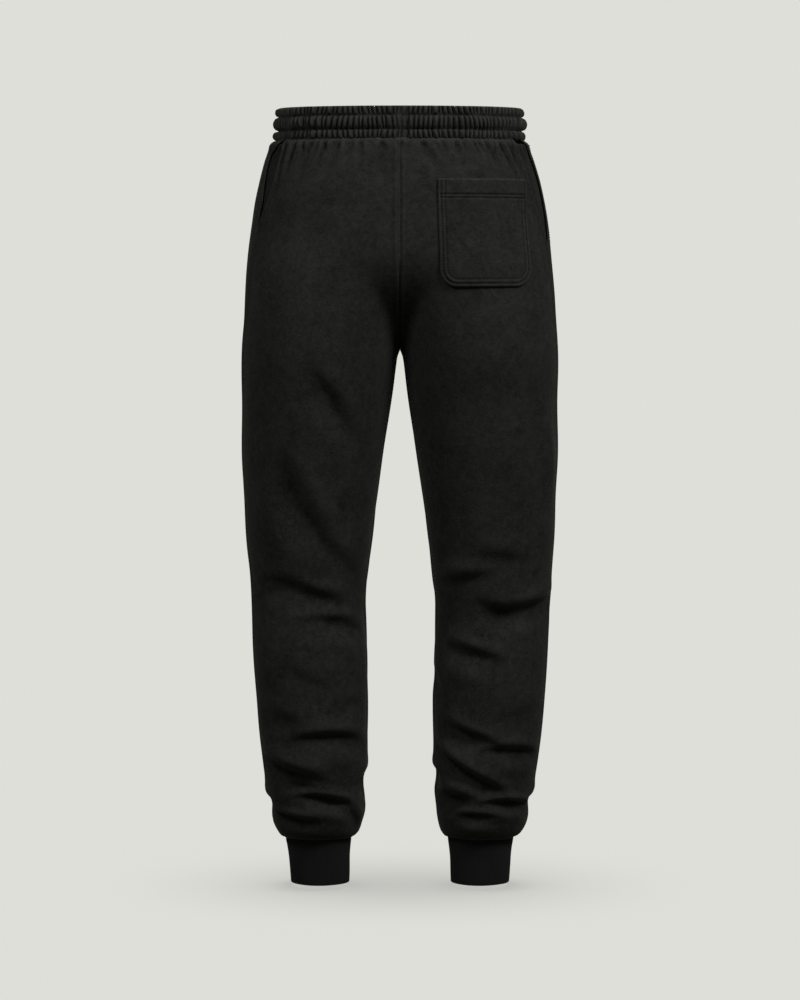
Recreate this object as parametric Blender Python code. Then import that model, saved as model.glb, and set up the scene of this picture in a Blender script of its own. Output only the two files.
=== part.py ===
"""Jogger sweatpants in brushed fleece, filled out as worn and held up at the waist.

Four cut panels hang from a gathered waistband and end in two rib cuffs. The panels are open
walls: the waist, both legs and both cuffs are hollow. X runs to the wearer's left, Y to the back
and Z up, in metres, and the origin is the middle of the waist opening.

A place on the cloth is a height z and a turn round one half of the garment: -1 at the centre
front or the front side of the inseam, 0 at the outer side, 1 at the centre back or the back side
of the inseam.
"""

import math

import bmesh
import bpy
from mathutils import Vector

# Cloth
FLEECE_WALL = 0.0022
RIB_WALL = 0.0030
POCKET_WALL = 0.0020
FACING_WALL = 0.0015
SEAM_GAP = 0.0003        # between neighbouring pieces at a seam
LAID_ON_GAP = 0.0014     # from a panel to a piece laid on it
FACING_GAP = 0.0018      # from a panel to the facing behind it

# Heights
PANEL_TOP = -0.0223
PARTING_TOP = -0.165     # the centre seams start to turn under
CROTCH = -0.295
SIDES_PART_TOP = -0.110  # the sides become legs more slowly than the centre does
SIDES_PART_END = -0.370
LEG_HEM = -0.949
CUFF_HEM = -1.012

# Section shapes: 2 is an ellipse, more is squarer
HIP_POWER = 2.2
LEG_POWER = 2.1
U_CROTCH_START = 0.70    # turn from which the centre seams run in a U under the crotch
SEAT_FILL = 0.10         # extra depth half way from hips to legs, which keeps the seat full

# Mesh
PANEL_COLUMNS = 10
WAIST_COLUMNS = 24       # in each half of the waistband
CUFF_COLUMNS = 22
SLOPE_STEP = 0.0005      # up and down, for the slopes of the surface
TURN_STEP = 0.004        # round the cloth, for its direction
ARC_STEP = 0.002         # in turns, for distances round the cloth

# Waistband
WAIST_HALF_WIDTH = 0.1615
WAIST_BACK = 0.104
WAIST_FRONT = 0.094
WAIST_INSIDE = -0.0035   # of the waist line
WAIST_GROOVE = -0.0005   # of the waist line, where the rows of stitching pull the band in
ROLL_FULLNESS = 0.7      # below 1 makes a roll fuller than a sine

# Patch pocket on the wearer's right back
POCKET_TOP = -0.0735
POCKET_HEIGHT = 0.1405
POCKET_CORNER = 0.026
POCKET_COLUMNS = 8
POCKET_ROWS = 9

# Side-pocket mouths
MOUTH_LIFT = 0.0035      # the front edge stands off the facing
MOUTH_LIFT_REACH = 0.07  # in turns
MOUTH_WIDE_OPEN = 0.05   # in turns, where the edge stands off fully
MOUTH_LIFT_START = 0.02  # below the waistband, where the edge stands off fully
FACING_TUCK_BACK = 0.025  # in turns, under the back panel
FACING_TUCK_FRONT = 0.11  # in turns, under the front panel
FACING_TOP = -0.024
FACING_BOTTOM = -0.172
FACING_ROWS = 9
FACING_COLUMNS = 4

FLEECE_COLOUR = (0.0105, 0.0105, 0.0098, 1.0)
RIB_COLOUR = (0.0080, 0.0080, 0.0086, 1.0)


def table(columns, *rows):
    """Rows of named columns, highest first."""
    names = columns.split()
    return [dict(zip(names, row)) for row in rows]


# Half widths to the left and right, and depths to the back and front, of the hips
HIPS = table(
    "z        left    right   back    front",
    (-0.0223, 0.1627, 0.1627, 0.1052, 0.0952),
    (-0.0260, 0.1705, 0.1690, 0.1100, 0.1000),
    (-0.0334, 0.1748, 0.1729, 0.1135, 0.1030),
    (-0.0494, 0.1804, 0.1777, 0.1180, 0.1065),
    (-0.0761, 0.1868, 0.1852, 0.1240, 0.1115),
    (-0.1028, 0.1928, 0.1910, 0.1290, 0.1150),
    (-0.1295, 0.1973, 0.1957, 0.1330, 0.1180),
    (-0.1562, 0.2012, 0.1994, 0.1360, 0.1200),
    (-0.1829, 0.2037, 0.2017, 0.1380, 0.1210),
    (-0.2096, 0.2056, 0.2044, 0.1385, 0.1210),
    (-0.2363, 0.2076, 0.2068, 0.1380, 0.1200),
    (-0.2950, 0.2101, 0.2097, 0.1350, 0.1170),
)

# Each leg's outermost and innermost x, its depths to the back and front, and its middle's y
LEGS = table(
    "z        out_left in_left out_right in_right back    front   middle",
    (-0.1100, 0.1943, 0.0000, 0.1925, 0.0000, 0.1260, 0.1170, 0.0070),
    (-0.1650, 0.2022, 0.0000, 0.2003, 0.0000, 0.1250, 0.1160, 0.0070),
    (-0.2363, 0.2076, 0.0000, 0.2068, 0.0000, 0.1230, 0.1140, 0.0070),
    (-0.2950, 0.2101, 0.0000, 0.2097, 0.0000, 0.1190, 0.1100, 0.0060),
    (-0.3020, 0.2101, 0.0033, 0.2098, 0.0034, 0.1183, 0.1092, 0.0059),
    (-0.3164, 0.2101, 0.0056, 0.2099, 0.0058, 0.1168, 0.1076, 0.0056),
    (-0.3565, 0.2103, 0.0113, 0.2097, 0.0110, 0.1120, 0.1035, 0.0046),
    (-0.4366, 0.2100, 0.0234, 0.2100, 0.0231, 0.1020, 0.0955, 0.0025),
    (-0.5167, 0.2065, 0.0338, 0.2071, 0.0344, 0.0915, 0.0870, 0.0005),
    (-0.6035, 0.2008, 0.0434, 0.2022, 0.0440, 0.0820, 0.0790, -0.0010),
    (-0.6435, 0.1988, 0.0460, 0.2006, 0.0466, 0.0780, 0.0750, 0.0000),
    (-0.7036, 0.1962, 0.0446, 0.1976, 0.0460, 0.0770, 0.0720, 0.0050),
    (-0.7837, 0.1905, 0.0442, 0.1915, 0.0452, 0.0740, 0.0690, 0.0080),
    (-0.8400, 0.1840, 0.0448, 0.1850, 0.0456, 0.0710, 0.0660, 0.0080),
    (-0.8825, 0.1794, 0.0472, 0.1790, 0.0478, 0.0680, 0.0635, 0.0065),
    (-0.9145, 0.1722, 0.0486, 0.1725, 0.0498, 0.0640, 0.0605, 0.0055),
    (-0.9305, 0.1682, 0.0522, 0.1689, 0.0526, 0.0600, 0.0575, 0.0050),
    (-0.9412, 0.1632, 0.0557, 0.1637, 0.0560, 0.0555, 0.0540, 0.0045),
    (-0.9466, 0.1594, 0.0600, 0.1590, 0.0597, 0.0510, 0.0505, 0.0042),
    (-0.9490, 0.1558, 0.0628, 0.1549, 0.0619, 0.0480, 0.0475, 0.0040),
)

# The rib cuffs: middle x of each, half width, half depth
CUFFS = table(
    "z        left    right   width   depth",
    (-0.9450, 0.1093, 0.1084, 0.0440, 0.0450),
    (-0.9530, 0.1093, 0.1084, 0.0437, 0.0448),
    (-0.9650, 0.1088, 0.1081, 0.0420, 0.0438),
    (-0.9780, 0.1084, 0.1079, 0.0406, 0.0428),
    (-1.0000, 0.1078, 0.1072, 0.0395, 0.0418),
    (-1.0120, 0.1076, 0.1070, 0.0389, 0.0412),
)
CUFF_MIDDLE_Y = 0.004

# The back panels' outer edges and the front panels' pocket mouths, in turns
SIDES = table(
    "z        seam_left mouth_left seam_right mouth_right",
    (-0.0223, 0.300, 0.255, 0.292, 0.150),
    (-0.0410, 0.310, 0.180, 0.275, 0.110),
    (-0.0560, 0.310, 0.180, 0.262, 0.085),
    (-0.0830, 0.300, 0.205, 0.252, 0.065),
    (-0.1028, 0.280, 0.225, 0.238, 0.060),
    (-0.1300, 0.215, 0.205, 0.196, 0.080),
    (-0.1500, 0.192, 0.188, 0.152, 0.105),
    (-0.1650, 0.178, 0.178, 0.124, 0.124),
    (-0.1829, 0.160, 0.160, 0.110, 0.110),
    (-0.2363, 0.120, 0.120, 0.085, 0.085),
    (-0.2950, 0.070, 0.070, 0.060, 0.060),
    (-0.4366, 0.030, 0.030, 0.030, 0.030),
    (-0.9490, 0.020, 0.020, 0.020, 0.020),
)

# The largest folds. Slope is how steeply one climbs towards the inseam, in degrees; arch is how
# far its middle stands above its ends; width is half its width; depth is inwards.
FOLDS = table(
    "leg      turn   z       length slope arch   width  depth",
    ("left", 0.45, -0.493, 0.150, -62, 0.000, 0.020, 0.0030),
    ("left", 0.42, -0.617, 0.110, -12, 0.003, 0.015, 0.0032),
    ("left", 0.70, -0.668, 0.080, -4, 0.005, 0.013, 0.0030),
    ("left", 0.56, -0.825, 0.090, -2, 0.006, 0.011, 0.0034),
    ("left", 0.32, -0.866, 0.105, -15, 0.000, 0.013, 0.0065),
    ("left", 0.92, -0.879, 0.050, -12, 0.000, 0.009, 0.0042),
    ("left", 0.00, -0.899, 0.055, -6, 0.000, 0.009, 0.0050),
    ("left", 0.55, -0.907, 0.080, -8, 0.006, 0.010, 0.0060),
    ("left", -0.50, -0.640, 0.110, 8, 0.006, 0.014, 0.0032),
    ("left", -0.45, -0.852, 0.110, 14, 0.004, 0.012, 0.0052),
    ("left", -0.55, -0.903, 0.085, -6, 0.005, 0.010, 0.0052),
    ("right", 0.30, -0.645, 0.120, -8, 0.003, 0.015, 0.0032),
    ("right", 0.65, -0.702, 0.090, 12, 0.000, 0.013, 0.0036),
    ("right", 0.30, -0.841, 0.095, 2, 0.008, 0.011, 0.0040),
    ("right", 0.60, -0.862, 0.120, 26, 0.000, 0.012, 0.0060),
    ("right", 0.98, -0.866, 0.045, 8, 0.000, 0.009, 0.0040),
    ("right", 0.00, -0.898, 0.055, -4, 0.000, 0.009, 0.0050),
    ("right", 0.35, -0.911, 0.075, -2, 0.004, 0.010, 0.0060),
    ("right", -0.40, -0.655, 0.120, -10, 0.005, 0.014, 0.0032),
    ("right", -0.60, -0.848, 0.110, -12, 0.004, 0.012, 0.0052),
    ("right", -0.40, -0.905, 0.085, 8, 0.005, 0.010, 0.0052),
)

# The waistband's three ruched rolls, from the waist line outwards
ROLLS = table(
    "top      bottom  reach",
    (0.0220, 0.0105, 0.0010),
    (0.0105, -0.0080, 0.0045),
    (-0.0080, -0.0220, 0.0040),
)
ROLL_STEPS = 3

# The patch pocket's edges, measured round the cloth from the centre-back seam
POCKET_EDGES = table(
    "z        inner   outer",
    (-0.0735, 0.0488, 0.1780),
    (-0.2140, 0.0540, 0.1810),
)

# Heights of the panels' rows of points below the crotch
LEG_ROWS = (
    -0.303, -0.325, -0.365, -0.415, -0.465, -0.510, -0.555, -0.595, -0.630, -0.665,
    -0.705, -0.750, -0.790, -0.822, -0.842, -0.860, -0.876, -0.891, -0.904, -0.917,
    -0.930, -0.9412, -0.9466, LEG_HEM,
)


def value_at(rows, column, z):
    """A column's value at a height, on a smooth line that never overshoots its rows."""
    last = len(rows) - 1
    if z >= rows[0]["z"]:
        return rows[0][column]
    if z <= rows[last]["z"]:
        return rows[last][column]
    i = next(k for k in range(last) if rows[k + 1]["z"] <= z)

    def slope(k):
        if k == 0 or k == last:
            return 0.0 if k == 0 else climb(last - 1)
        before = climb(k - 1)
        after = climb(k)
        return 0.0 if before * after <= 0 else 2 * before * after / (before + after)

    def climb(k):
        return (rows[k + 1][column] - rows[k][column]) / (rows[k + 1]["z"] - rows[k]["z"])

    run = rows[i + 1]["z"] - rows[i]["z"]
    t = (z - rows[i]["z"]) / run
    rise = t * t * (3 - 2 * t)
    bend_in = t * (1 - t) ** 2 * run * slope(i)
    bend_out = -t * t * (1 - t) * run * slope(i + 1)
    return rows[i][column] * (1 - rise) + rows[i + 1][column] * rise + bend_in + bend_out


def soft_step(t):
    t = min(1.0, max(0.0, t))
    return t * t * (3 - 2 * t)


def oval(angle, power):
    """A point on an oval one unit wide and deep."""
    x = math.cos(angle)
    y = math.sin(angle)
    return (
        math.copysign(abs(x) ** (2 / power), x),
        math.copysign(abs(y) ** (2 / power), y),
    )


def sign_of(side):
    return 1 if side == "left" else -1


def hip_point(side, turn, z):
    x, y = oval(turn * math.pi / 2, HIP_POWER)
    depth = value_at(HIPS, "back" if turn > 0 else "front", z)
    return Vector((x * value_at(HIPS, side, z), y * depth, z))


def leg_point(side, turn, z):
    x, y = oval(turn * math.pi, LEG_POWER)
    outermost = value_at(LEGS, "out_" + side, z)
    innermost = value_at(LEGS, "in_" + side, z)
    middle = (outermost + innermost) / 2
    depth = value_at(LEGS, "back" if turn > 0 else "front", z)
    y_middle = value_at(LEGS, "middle", z)
    return Vector((middle + x * (outermost - middle), y_middle + y * depth, z))


def ramp(z, top, end):
    """0 down to the top height, 1 from the end height down."""
    return min(1.0, max(0.0, (top - z) / (top - end)))


def centre_share(turn):
    """0 at the sides of the body, 1 at the centre seams."""
    return soft_step((abs(turn) - U_CROTCH_START) / (1 - U_CROTCH_START))


def bare_point(side, turn, z):
    """A point of the filled-out form, before its folds, on the left half's side of x.

    The hips become a leg softly at the sides, and in a U at the centre seams.
    """
    s = ramp(z, PARTING_TOP, CROTCH)
    at_centre = 1 - math.sqrt(1 - s * s)
    at_side = soft_step(ramp(z, SIDES_PART_TOP, SIDES_PART_END))
    central = centre_share(turn)
    share = at_side * (1 - central) + at_centre * central
    point = hip_point(side, turn, z).lerp(leg_point(side, turn, z), share)
    point.y *= 1 + SEAT_FILL * 4 * at_side * (1 - at_side) * (1 - central)
    return point


def along(side, turn, z):
    """The direction round the cloth at a point, towards larger turns."""
    low = max(-1.0, turn - TURN_STEP)
    high = min(1.0, turn + TURN_STEP)
    return (bare_point(side, high, z) - bare_point(side, low, z)).normalized()


def outward(side, turn, z):
    round_it = along(side, turn, z)
    up = bare_point(side, turn, z + SLOPE_STEP) - bare_point(side, turn, z - SLOPE_STEP)
    flat = Vector((round_it.y, -round_it.x, 0))
    flat.z = -flat.dot(up) / (2 * SLOPE_STEP)
    return flat.normalized()


def fold_depth(side, turn, z):
    """How far the folds push the cloth inwards at a point."""
    total = 0.0
    radius = (value_at(LEGS, "out_" + side, z) - value_at(LEGS, "in_" + side, z)) / 2
    for fold in FOLDS:
        if fold["leg"] != side:
            continue
        round_it = (turn - fold["turn"] + 1) % 2 - 1
        across = round_it * math.pi * radius
        up = z - fold["z"]
        slope = math.radians(fold["slope"])
        run = (across * math.cos(slope) + up * math.sin(slope)) / (fold["length"] / 2)
        if abs(run) >= 1:
            continue
        off = up * math.cos(slope) - across * math.sin(slope) - fold["arch"] * (1 - run * run)
        total += fold["depth"] * (1 - run * run) ** 2 * math.exp(-((off / fold["width"]) ** 2))
    return total


def mouth_lift(side, turn, z):
    """How far the pocket mouth's edge stands out from the facing, on the front panel."""
    seam = value_at(SIDES, "seam_" + side, z)
    mouth = value_at(SIDES, "mouth_" + side, z)
    open_by = soft_step((seam - mouth) / MOUTH_WIDE_OPEN)
    near = math.exp(-(((mouth - turn) / MOUTH_LIFT_REACH) ** 2))
    below_band = soft_step((PANEL_TOP - z) / MOUTH_LIFT_START)
    return MOUTH_LIFT * open_by * near * below_band


def place(side, point):
    """Keeps a point clear of the centre seam and puts it on its own side."""
    return Vector((max(point.x, SEAM_GAP / 2) * sign_of(side), point.y, point.z))


def wall_points(side, turn, z, shift=0.0, lift=0.0, wall=FLEECE_WALL):
    """The outer and inner points of a wall, shifted round the cloth and lifted off it."""
    normal = outward(side, turn, z)
    outer = bare_point(side, turn, z) + along(side, turn, z) * shift
    outer += normal * (lift - fold_depth(side, turn, z))
    inner = outer - normal * wall
    return place(side, outer), place(side, inner)


def lofted(name, rings, closed=False):
    """One closed body through rings of points; rings go outer points first, then inner back."""
    body = bmesh.new()
    loops = [[body.verts.new(point) for point in ring] for ring in rings]
    count = len(loops[0])
    pairs = list(zip(loops, loops[1:]))
    if closed:
        pairs.append((loops[-1], loops[0]))
    for upper, lower in pairs:
        for i in range(count):
            k = (i + 1) % count
            body.faces.new((upper[i], upper[k], lower[k], lower[i]))
    if not closed:
        for end in (loops[0], loops[-1]):
            for i in range(count // 2 - 1):
                body.faces.new((end[i], end[i + 1], end[count - 2 - i], end[count - 1 - i]))
    bmesh.ops.recalc_face_normals(body, faces=body.faces)
    mesh = bpy.data.meshes.new(name)
    body.to_mesh(mesh)
    body.free()
    mesh.shade_smooth()
    piece = bpy.data.objects.new(name, mesh)
    garment.objects.link(piece)
    return piece


def crotch_rows():
    """Heights from the waist to the crotch, closer together where the centre seam turns under."""
    rows = [PANEL_TOP, -0.0260, -0.0370, -0.0560, -0.0830, -0.1100, -0.1380, PARTING_TOP]
    for share in (0.012, 0.05, 0.14, 0.30, 0.53, 0.80):
        rows.append(PARTING_TOP - (PARTING_TOP - CROTCH) * math.sqrt(1 - (1 - share) ** 2))
    return rows + [CROTCH]


def panel(name, side, face):
    """A back or front panel, from its side edge to its centre seam and inseam."""
    towards = 1 if face == "back" else -1
    edge_column = ("seam_" if face == "back" else "mouth_") + side
    rings = []
    for z in crotch_rows() + list(LEG_ROWS):
        edge = value_at(SIDES, edge_column, z)
        outer = []
        inner = []
        for i in range(PANEL_COLUMNS + 1):
            turn = edge + (towards - edge) * i / PANEL_COLUMNS
            shift = 0.0
            if i == 0:
                shift = towards * SEAM_GAP / 2
            if i == PANEL_COLUMNS and z <= CROTCH:
                shift = -towards * SEAM_GAP / 2
            lift = 0.0 if face == "back" else mouth_lift(side, turn, z)
            out_point, in_point = wall_points(side, turn, z, shift, lift)
            outer.append(out_point)
            inner.append(in_point)
        rings.append(outer + inner[::-1])
    return lofted(name, rings)


def waist_point(column, out, z):
    """A point on the waistband: columns run once round it from the centre front."""
    half = WAIST_COLUMNS
    left = column <= half
    turn = -1 + 2 * column / half if left else 3 - 2 * column / half
    x, y = oval(turn * math.pi / 2, HIP_POWER)
    depth = WAIST_BACK if y > 0 else WAIST_FRONT
    across = Vector((x / WAIST_HALF_WIDTH, y / depth)).normalized() * out
    x = x * WAIST_HALF_WIDTH + across.x
    y = y * depth + across.y
    return Vector((x if left else -x, y, z))


def waistband():
    """A ring of three ruched rolls outside and a plain wall inside."""
    profile = []
    for roll in ROLLS:
        for step in range(ROLL_STEPS):
            t = step / ROLL_STEPS
            swell = math.sin(math.pi * t) ** ROLL_FULLNESS
            out = WAIST_GROOVE + (roll["reach"] - WAIST_GROOVE) * swell
            profile.append((out, roll["top"] + (roll["bottom"] - roll["top"]) * t))
    profile.append((WAIST_GROOVE, ROLLS[-1]["bottom"]))
    profile.append((WAIST_INSIDE, ROLLS[-1]["bottom"]))
    profile.append((WAIST_INSIDE, 0.0))
    profile.append((WAIST_INSIDE, ROLLS[0]["top"]))
    rings = []
    for column in range(2 * WAIST_COLUMNS):
        rings.append([waist_point(column, out, z) for out, z in profile])
    return lofted("waistband", rings, closed=True)


def cuff(name, side):
    """A ring of folded rib, its top tucked just inside the leg's hem."""
    hem_round = RIB_WALL / 2
    heights = [row["z"] for row in CUFFS[:-1]]
    profile = [(0.0, z) for z in heights]
    profile.append((0.0, CUFF_HEM + hem_round))
    profile.append((-hem_round, CUFF_HEM))
    profile.append((-RIB_WALL, CUFF_HEM + hem_round))
    profile += [(-RIB_WALL, z) for z in heights[::-2]]
    rings = []
    for column in range(CUFF_COLUMNS):
        x, y = oval(2 * math.pi * column / CUFF_COLUMNS, 2)
        ring = []
        for out, z in profile:
            middle = value_at(CUFFS, side, z) * sign_of(side)
            half_width = value_at(CUFFS, "width", z) + out
            half_depth = value_at(CUFFS, "depth", z) + out
            ring.append(Vector((middle + x * half_width, CUFF_MIDDLE_Y + y * half_depth, z)))
        rings.append(ring)
    return lofted(name, rings, closed=True)


def turn_at_arc(side, arc, z):
    """The turn on the back panel at a distance round the cloth from the centre back."""
    turn = 1.0
    point = bare_point(side, turn, z)
    travelled = 0.0
    while travelled < arc:
        turn -= ARC_STEP
        following = bare_point(side, turn, z)
        travelled += (following - point).length
        point = following
    return turn


def patch_pocket():
    """A patch laid on the right back panel, square above and rounded at its lower corners."""
    rings = []
    for row in range(POCKET_ROWS + 1):
        down = POCKET_HEIGHT * row / POCKET_ROWS
        z = POCKET_TOP - down
        into_corner = max(0.0, down - (POCKET_HEIGHT - POCKET_CORNER))
        round_off = POCKET_CORNER - math.sqrt(max(0.0, POCKET_CORNER ** 2 - into_corner ** 2))
        start = value_at(POCKET_EDGES, "inner", z) + round_off
        end = value_at(POCKET_EDGES, "outer", z) - round_off
        outer = []
        inner = []
        for column in range(POCKET_COLUMNS + 1):
            arc = start + (end - start) * column / POCKET_COLUMNS
            turn = turn_at_arc("right", arc, z)
            lift = LAID_ON_GAP + POCKET_WALL
            out_point, in_point = wall_points("right", turn, z, 0.0, lift, POCKET_WALL)
            outer.append(out_point)
            inner.append(in_point)
        rings.append(outer + inner[::-1])
    return lofted("back_pocket", rings)


def pocket_facing(name, side):
    """The strip behind a side-pocket mouth, tucked under both panels."""
    rings = []
    for row in range(FACING_ROWS + 1):
        z = FACING_TOP + (FACING_BOTTOM - FACING_TOP) * row / FACING_ROWS
        start = value_at(SIDES, "seam_" + side, z) + FACING_TUCK_BACK
        end = value_at(SIDES, "mouth_" + side, z) - FACING_TUCK_FRONT
        outer = []
        inner = []
        for column in range(FACING_COLUMNS + 1):
            turn = start + (end - start) * column / FACING_COLUMNS
            lift = -(FLEECE_WALL + FACING_GAP)
            out_point, in_point = wall_points(side, turn, z, 0.0, lift, FACING_WALL)
            outer.append(out_point)
            inner.append(in_point)
        rings.append(outer + inner[::-1])
    return lofted(name, rings)


def cloth_material(name, colour, roughness):
    material = bpy.data.materials.new(name)
    material.use_nodes = True
    shader = material.node_tree.nodes["Principled BSDF"]
    shader.inputs["Base Color"].default_value = colour
    shader.inputs["Roughness"].default_value = roughness
    shader.inputs["Metallic"].default_value = 0.0
    return material


for leftover in list(bpy.data.objects):
    bpy.data.objects.remove(leftover)

garment = bpy.data.collections.new("jogger_sweatpants")
bpy.context.scene.collection.children.link(garment)

pieces = [waistband()]
for half in ("left", "right"):
    pieces.append(panel("back_" + half, half, "back"))
    pieces.append(panel("front_" + half, half, "front"))
    pieces.append(pocket_facing("pocket_facing_" + half, half))
    pieces.append(cuff("cuff_" + half, half))
pieces.append(patch_pocket())

for piece in pieces:
    is_rib = piece.name.startswith("cuff")
    colour = RIB_COLOUR if is_rib else FLEECE_COLOUR
    roughness = 0.9 if is_rib else 0.95
    piece.data.materials.append(cloth_material(piece.name + "_cloth", colour, roughness))
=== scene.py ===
"""Black fleece joggers, filled out as worn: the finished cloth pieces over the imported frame.

Each panel, cuff, facing and pocket is a thin shell on the same sections as its solid. A place on
the cloth is a height z and a turn round one half of the garment: -1 at the centre front or the
front of the inseam, 0 at the outer side, 1 at the centre back or the back of the inseam.
"""

import math

import bmesh
import bpy
import numpy as np
from mathutils import Matrix, Vector


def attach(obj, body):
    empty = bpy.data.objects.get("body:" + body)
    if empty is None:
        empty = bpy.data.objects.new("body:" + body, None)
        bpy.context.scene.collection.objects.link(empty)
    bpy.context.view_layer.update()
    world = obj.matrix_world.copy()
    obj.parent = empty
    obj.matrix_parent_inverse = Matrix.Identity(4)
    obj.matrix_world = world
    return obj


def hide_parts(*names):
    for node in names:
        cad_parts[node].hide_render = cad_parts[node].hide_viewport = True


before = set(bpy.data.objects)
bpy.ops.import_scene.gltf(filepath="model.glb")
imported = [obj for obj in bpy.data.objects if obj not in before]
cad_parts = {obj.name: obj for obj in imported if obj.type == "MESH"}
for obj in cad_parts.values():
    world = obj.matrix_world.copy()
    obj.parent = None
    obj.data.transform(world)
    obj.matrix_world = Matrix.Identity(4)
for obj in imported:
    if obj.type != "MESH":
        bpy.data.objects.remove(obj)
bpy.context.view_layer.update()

# Cloth, in metres
FLEECE_WALL = 0.0022
RIB_WALL = 0.0030
FACING_WALL = 0.0015
POCKET_WALL = 0.0012
LAID_ON_GAP = 0.0004
FACING_GAP = 0.0004

# Heights
PANEL_TOP = -0.0223
TUCKED_TOP = -0.0195         # the panels' upper edges, hidden in the waistband's lowest roll
PARTING_TOP = -0.140         # where the seat begins to turn in towards the crotch
CROTCH = -0.295
SIDES_PART_TOP = -0.110
SIDES_PART_END = -0.370
LEG_HEM = -0.949
CUFF_TOP = -0.945
CUFF_HEM = -1.012
FLOOR = -1.0165

# The form
HIP_POWER = 2.2              # 2 is an ellipse, and more is squarer
LEG_POWER = 2.1
U_CROTCH_START = 0.70        # the turn from which the cloth belongs to the crotch
SEAT_FILL = 0.10
CROTCH_WEB = 0.0027          # how much nearer together the legs start right at the crotch seam

WAIST_HALF_WIDTH = 0.1615
WAIST_BACK = 0.104
WAIST_FRONT = 0.094
WAIST_INSIDE = -0.0035       # from the waist line, outwards
WAIST_GROOVE = -0.0005

# The patch pocket, and its rows of stitches from its edge and from its top
POCKET_TOP = -0.0735
POCKET_WIDTH = 0.133
POCKET_HEIGHT = 0.1405
POCKET_CORNER = 0.026
POCKET_STITCH = (0.0045, 0.0100)
POCKET_HEM_STITCH = (0.0207, 0.0247)

# The side pockets: how the mouth's edge lifts, and how far the facing goes under the panels
MOUTH_LIFT = 0.0007
MOUTH_LIFT_REACH = 0.07
MOUTH_WIDE_OPEN = 0.05
MOUTH_LIFT_START = 0.02
FACING_TUCK_BACK = 0.025
FACING_TUCK_FRONT = 0.11
FACING_TOP = -0.024
FACING_BOTTOM = -0.172
FACING_SINK = {"left": 0.004, "right": 0.0005}
MOUTH_END = (-0.150, -0.165)  # the heights where a mouth closes into the side seam

# Folds, gathers and seams
TROUGH_ABOVE = 0.55          # a fold is steep above its line and slopes away below it
TROUGH_BELOW = 1.35
METRES_PER_TURN = 0.215      # round the hips, just under the band
SWELL = 0.0007
SEAM_SINK = 0.0022
SEAM_SINK_WIDTH = 0.0019
ALLOWANCE_RISE = 0.0009
ALLOWANCE_AT = 0.0055
ALLOWANCE_WIDTH = 0.0028
EDGE_ROLL = 0.0007

# Stitching
STITCH_LENGTH = 0.0030
STITCH_PITCH = 0.0038
THREAD_RADIUS = 0.00028
THREAD_LIFT = 0.0004
BACK_SEAM_STITCH = 0.0045    # from the seam
MOUTH_STITCH = (0.006, 0.012)

chance = np.random.default_rng(17)


def table(columns, *rows):
    """Named columns of numbers, highest row first."""
    return dict(zip(columns.split(), np.array(rows, float).T))


def listing(columns, *rows):
    """A list of rows with named columns."""
    return [dict(zip(columns.split(), row)) for row in rows]


# Half widths to the left and right, and depths to the back and front, of the hips
HIPS = table(
    "z        left    right   back    front",
    (-0.0195, 0.1627, 0.1627, 0.1052, 0.0952),
    (-0.0223, 0.1694, 0.1678, 0.1088, 0.0988),
    (-0.0260, 0.1726, 0.1708, 0.1110, 0.1010),
    (-0.0334, 0.1748, 0.1729, 0.1135, 0.1030),
    (-0.0494, 0.1804, 0.1777, 0.1180, 0.1065),
    (-0.0761, 0.1868, 0.1852, 0.1240, 0.1115),
    (-0.1028, 0.1928, 0.1910, 0.1290, 0.1150),
    (-0.1295, 0.1973, 0.1957, 0.1330, 0.1180),
    (-0.1562, 0.2012, 0.1994, 0.1360, 0.1200),
    (-0.1829, 0.2037, 0.2017, 0.1380, 0.1210),
    (-0.2096, 0.2056, 0.2044, 0.1385, 0.1210),
    (-0.2363, 0.2076, 0.2068, 0.1380, 0.1200),
    (-0.2950, 0.2101, 0.2097, 0.1350, 0.1170),
    (-0.3700, 0.2115, 0.2110, 0.1325, 0.1150),
)

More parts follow.
